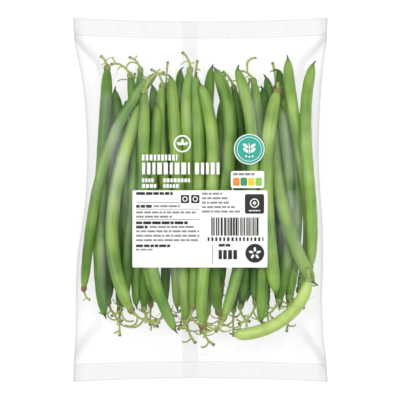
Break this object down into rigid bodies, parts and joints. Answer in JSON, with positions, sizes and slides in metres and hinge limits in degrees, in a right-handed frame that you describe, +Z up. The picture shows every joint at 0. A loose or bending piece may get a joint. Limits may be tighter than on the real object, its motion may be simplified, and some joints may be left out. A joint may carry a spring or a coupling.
{
  "type": "green bean bundle",
  "caption": "Bundle of fine green beans, each with its cap and stalk, sealed flat in a clear pillow bag with a crimped seal at each end.",
  "frame": {"origin": "on the surface that the bag lies on, under the middle of the bag's outline", "axes": "+Y along the bag towards its top seal, +Z up out of the bag's front, +X across it"},
  "size_m": [0.16, 0.229, 0.0437],
  "materials": {
    "pod_green_1": "satin skin of a fresh bean, mid green",
    "pod_green_2": "satin skin of a fresh bean, light green",
    "pod_green_3": "satin skin of a fresh bean, dark green",
    "clear_film": "clear thin packing film, glossy"
  },
  "bodies": {
    "root": {"bean_back_1": "pod_green_1", "bean_back_2": "pod_green_2", "bean_back_3": "pod_green_3", "bean_back_4": "pod_green_1", "bean_back_5": "pod_green_2", "bean_back_6": "pod_green_3", "bean_back_7": "pod_green_1", "bean_back_8": "pod_green_2", "bean_back_9": "pod_green_3", "bean_back_10": "pod_green_1", "bean_back_11": "pod_green_2", "bean_back_12": "pod_green_3", "bean_back_13": "pod_green_1", "bean_back_14": "pod_green_2", "bean_low_1": "pod_green_3", "bean_low_2": "pod_green_1", "bean_low_3": "pod_green_2", "bean_low_4": "pod_green_3", "bean_low_5": "pod_green_1", "bean_low_6": "pod_green_2", "bean_low_7": "pod_green_3", "bean_mid_1": "pod_green_1", "bean_mid_2": "pod_green_2", "bean_mid_3": "pod_green_3", "bean_mid_4": "pod_green_1", "bean_mid_5": "pod_green_2", "bean_mid_6": "pod_green_3", "bean_mid_7": "pod_green_1", "bean_mid_8": "pod_green_2", "bean_mid_9": "pod_green_3", "bean_mid_10": "pod_green_1", "bean_high_1": "pod_green_2", "bean_high_2": "pod_green_3", "bean_high_3": "pod_green_1", "bean_high_4": "pod_green_2", "bean_high_5": "pod_green_3", "bean_high_6": "pod_green_1", "bean_high_7": "pod_green_2", "bean_high_8": "pod_green_3", "bean_high_9": "pod_green_1", "bean_top_1": "pod_green_2", "bean_top_2": "pod_green_3", "bean_top_3": "pod_green_1", "bean_top_4": "pod_green_2", "bean_top_5": "pod_green_3", "bean_top_6": "pod_green_1", "film_bag": "clear_film"}
  },
  "joints": []
}
